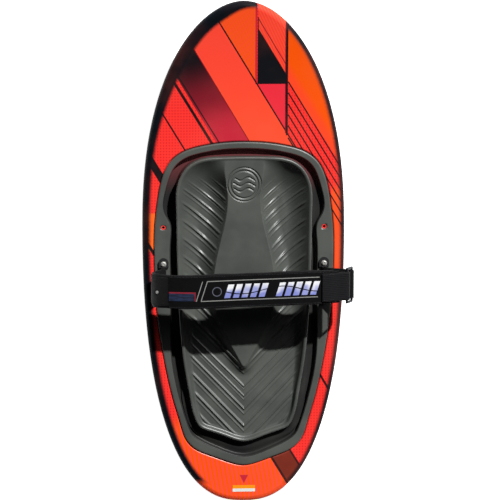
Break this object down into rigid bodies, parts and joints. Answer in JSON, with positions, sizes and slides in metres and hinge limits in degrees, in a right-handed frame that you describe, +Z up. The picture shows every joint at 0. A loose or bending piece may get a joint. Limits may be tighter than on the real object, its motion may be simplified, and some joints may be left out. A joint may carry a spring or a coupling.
{
  "type": "kneeboard",
  "caption": "Kneeboard: rounded moulded hull with a recessed ribbed knee pad and an adjustable padded knee strap held by screwed strap bars.",
  "frame": {"origin": "on the plane that the flat bottom rests on, at the middle of the board's length and width", "axes": "+Y towards the nose, +X to the kneeling rider's right, +Z up out of the deck"},
  "size_m": [0.533, 1.295, 0.1931],
  "materials": {
    "deck_skin": "glossy printed red and orange deck with a black rim",
    "hull_skin": "glossy black moulded bottom",
    "core_foam": "closed-cell rigid foam",
    "insert_block": "dense foam block",
    "insert_brass": "machined",
    "pad_eva": "satin moulded foam with ribs",
    "bar_plastic": "moulded, fine grain",
    "stainless": "brushed stainless",
    "webbing": "woven nylon",
    "neoprene": "knit-faced neoprene",
    "strap_cover": "smooth knit with a plain printed panel",
    "loop_fabric": "brushed loop pile",
    "ring_plastic": "moulded acetal",
    "woven_label": "woven blue with a red edge",
    "hook_tape": "moulded hook tape",
    "printed_label": "printed film"
  },
  "bodies": {
    "root": {"deck_shell": "deck_skin", "hull_shell": "hull_skin", "foam_core": "core_foam", "insert_block_left": "insert_block", "insert_block_right": "insert_block", "threaded_inserts_left": "insert_brass", "threaded_inserts_right": "insert_brass", "knee_pad": "pad_eva", "anchor_plate_left": "bar_plastic", "anchor_plate_right": "bar_plastic", "anchor_screws_left": "stainless", "anchor_screws_right": "stainless", "anchor_washers_left": "stainless", "anchor_washers_right": "stainless", "anchor_webbing_left": "webbing", "anchor_webbing_right": "webbing", "deck_label": "printed_label"},
    "strap": {"strap_webbing": "webbing", "strap_padding": "neoprene", "strap_cover": "strap_cover", "loop_panel": "loop_fabric", "strap_ring": "ring_plastic", "ring_webbing": "webbing", "woven_label": "woven_label", "strap_rivet": "stainless"},
    "tail": {"strap_tail": "webbing", "hook_patch": "hook_tape"}
  },
  "joints": [
    {"name": "strap_tilt", "type": "hinge", "parent": "root", "child": "strap", "pos_m": [0, -0.0675, 0.074], "axis": [1, 0, 0], "range_deg": [-30, 30]},
    {"name": "tail_peel", "type": "hinge", "parent": "strap", "child": "tail", "pos_m": [0.255, -0.0675, 0.166], "axis": [0, 1, 0], "range_deg": [0, 150]}
  ]
}
